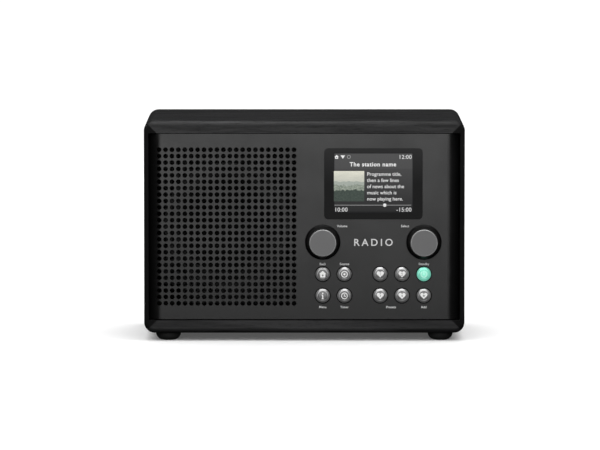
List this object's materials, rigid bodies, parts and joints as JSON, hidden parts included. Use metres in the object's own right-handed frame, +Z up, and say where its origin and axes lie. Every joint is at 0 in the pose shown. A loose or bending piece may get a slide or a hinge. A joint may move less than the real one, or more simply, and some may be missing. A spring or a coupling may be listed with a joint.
{
  "type": "tabletop radio",
  "caption": "Box-shaped tabletop radio with a wood sleeve, perforated speaker front, colour screen, two knobs, push buttons and a folding rear aerial.",
  "frame": {"origin": "under the middle of the object's box, on the surface that its feet stand on", "axes": "+Z up, front faces -Y, +X to the right seen from the front, along the width"},
  "size_m": [0.2, 0.133, 0.138],
  "materials": {
    "wood_veneer": "black-stained open-grain veneer, satin lacquer",
    "plain_wood": "sawn softwood, unfinished",
    "front_plastic": "fine-textured dark grey moulding",
    "back_plastic": "textured black moulding",
    "foot_rubber": "matt black rubber",
    "display_lens": "polished acrylic with a black printed border",
    "display_glass": "polished glass",
    "carrier_plastic": "moulded",
    "circuit_board": "solder-masked laminate",
    "switch_plastic": "moulded",
    "speaker_steel": "black painted pressing",
    "gasket_foam": "closed-cell foam",
    "surround_rubber": "soft moulded roll",
    "cone_paper": "pressed black paper pulp",
    "spider_cloth": "resin-treated cloth",
    "coil_copper": "enamelled copper winding",
    "magnet_steel": "zinc-plated",
    "ferrite": "sintered, matt",
    "board_parts": "tinned cans and sleeved capacitors",
    "connector_plastic": "moulded, natural",
    "ribbon_film": "flexible film",
    "lead_jacket": "soft extruded jacket",
    "jack_plastic": "moulded",
    "socket_steel": "drawn shell",
    "aerial_plastic": "moulded",
    "aerial_chrome": "plated",
    "screw_steel": "black zinc plated",
    "button_silver": "silver-grey painted moulding",
    "knob_plastic": "satin black moulding",
    "knob_aluminium": "spun, satin",
    "shaft_steel": "turned",
    "encoder_metal": "pressed housing"
  },
  "bodies": {
    "cabinet": {"cabinet_sleeve": "wood_veneer", "corner_blocks": "plain_wood", "front_panel": "front_plastic", "back_panel": "back_plastic", "foot_front_left": "foot_rubber", "foot_front_right": "foot_rubber", "foot_rear_left": "foot_rubber", "foot_rear_right": "foot_rubber", "display_lens": "display_lens", "display_module": "display_glass", "display_carrier": "carrier_plastic", "control_board": "circuit_board", "main_board": "circuit_board", "tact_switches": "switch_plastic", "speaker_basket": "speaker_steel", "speaker_gasket": "gasket_foam", "speaker_surround": "surround_rubber", "speaker_spider": "spider_cloth", "speaker_top_plate": "magnet_steel", "speaker_yoke": "magnet_steel", "speaker_magnet": "ferrite", "board_components": "board_parts", "board_connectors": "connector_plastic", "ribbon_cable": "ribbon_film", "internal_leads": "lead_jacket", "dc_jack": "jack_plastic", "headphone_jack": "jack_plastic", "usb_socket": "socket_steel", "case_screws": "screw_steel", "small_screws": "screw_steel", "volume_encoder": "encoder_metal", "select_encoder": "encoder_metal"},
    "home_button": {"home_button": "button_silver"},
    "source_button": {"source_button": "button_silver"},
    "preset_1_button": {"preset_1_button": "button_silver"},
    "preset_2_button": {"preset_2_button": "button_silver"},
    "standby_button": {"standby_button": "button_silver"},
    "info_button": {"info_button": "button_silver"},
    "timer_button": {"timer_button": "button_silver"},
    "preset_3_button": {"preset_3_button": "button_silver"},
    "preset_4_button": {"preset_4_button": "button_silver"},
    "add_preset_button": {"add_preset_button": "button_silver"},
    "volume_knob": {"volume_knob": "knob_plastic", "volume_knob_cap": "knob_aluminium", "volume_encoder_shaft": "shaft_steel", "volume_encoder_rotor": "switch_plastic"},
    "select_rotor": {"select_encoder_rotor": "switch_plastic"},
    "select_knob": {"select_knob": "knob_plastic", "select_knob_cap": "knob_aluminium", "select_encoder_shaft": "shaft_steel"},
    "speaker_cone": {"speaker_cone": "cone_paper", "speaker_dust_cap": "cone_paper", "voice_coil": "coil_copper"},
    "aerial_swivel": {"aerial_swivel": "aerial_plastic", "aerial_pin": "aerial_chrome"},
    "aerial_rod": {"aerial_knuckle": "aerial_chrome", "aerial_tube_1": "aerial_chrome"},
    "aerial_tube_2": {"aerial_tube_2": "aerial_chrome"},
    "aerial_tube_3": {"aerial_tube_3": "aerial_chrome"},
    "aerial_tube_4": {"aerial_tube_4": "aerial_chrome"}
  },
  "joints": [
    {"name": "home_press", "type": "slide", "parent": "cabinet", "child": "home_button", "axis": [0, 1, 0], "range_m": [0, 0.0005], "stiffness_N_per_m": 2000, "springref_m": -0.0003},
    {"name": "source_press", "type": "slide", "parent": "cabinet", "child": "source_button", "axis": [0, 1, 0], "range_m": [0, 0.0005], "stiffness_N_per_m": 2000, "springref_m": -0.0003},
    {"name": "preset_1_press", "type": "slide", "parent": "cabinet", "child": "preset_1_button", "axis": [0, 1, 0], "range_m": [0, 0.0005], "stiffness_N_per_m": 2000, "springref_m": -0.0003},
    {"name": "preset_2_press", "type": "slide", "parent": "cabinet", "child": "preset_2_button", "axis": [0, 1, 0], "range_m": [0, 0.0005], "stiffness_N_per_m": 2000, "springref_m": -0.0003},
    {"name": "standby_press", "type": "slide", "parent": "cabinet", "child": "standby_button", "axis": [0, 1, 0], "range_m": [0, 0.0005], "stiffness_N_per_m": 2000, "springref_m": -0.0003},
    {"name": "info_press", "type": "slide", "parent": "cabinet", "child": "info_button", "axis": [0, 1, 0], "range_m": [0, 0.0005], "stiffness_N_per_m": 2000, "springref_m": -0.0003},
    {"name": "timer_press", "type": "slide", "parent": "cabinet", "child": "timer_button", "axis": [0, 1, 0], "range_m": [0, 0.0005], "stiffness_N_per_m": 2000, "springref_m": -0.0003},
    {"name": "preset_3_press", "type": "slide", "parent": "cabinet", "child": "preset_3_button", "axis": [0, 1, 0], "range_m": [0, 0.0005], "stiffness_N_per_m": 2000, "springref_m": -0.0003},
    {"name": "preset_4_press", "type": "slide", "parent": "cabinet", "child": "preset_4_button", "axis": [0, 1, 0], "range_m": [0, 0.0005], "stiffness_N_per_m": 2000, "springref_m": -0.0003},
    {"name": "add_preset_press", "type": "slide", "parent": "cabinet", "child": "add_preset_button", "axis": [0, 1, 0], "range_m": [0, 0.0005], "stiffness_N_per_m": 2000, "springref_m": -0.0003},
    {"name": "volume_turn", "type": "hinge", "parent": "cabinet", "child": "volume_knob", "pos_m": [0.01145, -0.0585, 0.062], "axis": [0, 1, 0], "continuous": true},
    {"name": "select_turn", "type": "hinge", "parent": "cabinet", "child": "select_rotor", "pos_m": [0.0745, -0.0585, 0.062], "axis": [0, 1, 0], "continuous": true},
    {"name": "select_press", "type": "slide", "parent": "select_rotor", "child": "select_knob", "axis": [0, 1, 0], "range_m": [0, 0.0005], "stiffness_N_per_m": 4000, "springref_m": -0.0004},
    {"name": "cone_stroke", "type": "slide", "parent": "cabinet", "child": "speaker_cone", "axis": [0, 1, 0], "range_m": [-0.0015, 0.0015], "stiffness_N_per_m": 1500, "deforming": ["speaker_surround", "speaker_spider"]},
    {"name": "aerial_swing", "type": "hinge", "parent": "cabinet", "child": "aerial_swivel", "pos_m": [0.072, 0.0575, 0.116], "axis": [0, 1, 0], "range_deg": [0, 180]},
    {"name": "aerial_tilt", "type": "hinge", "parent": "aerial_swivel", "child": "aerial_rod", "pos_m": [0.072, 0.0629, 0.116], "axis": [0, 0, -1], "range_deg": [0, 90]},
    {"name": "aerial_section_2_slide", "type": "slide", "parent": "aerial_rod", "child": "aerial_tube_2", "axis": [-1, 0, 0], "range_m": [0, 0.108]},
    {"name": "aerial_section_3_slide", "type": "slide", "parent": "aerial_tube_2", "child": "aerial_tube_3", "axis": [-1, 0, 0], "range_m": [0, 0.108]},
    {"name": "aerial_section_4_slide", "type": "slide", "parent": "aerial_tube_3", "child": "aerial_tube_4", "axis": [-1, 0, 0], "range_m": [0, 0.108]}
  ]
}
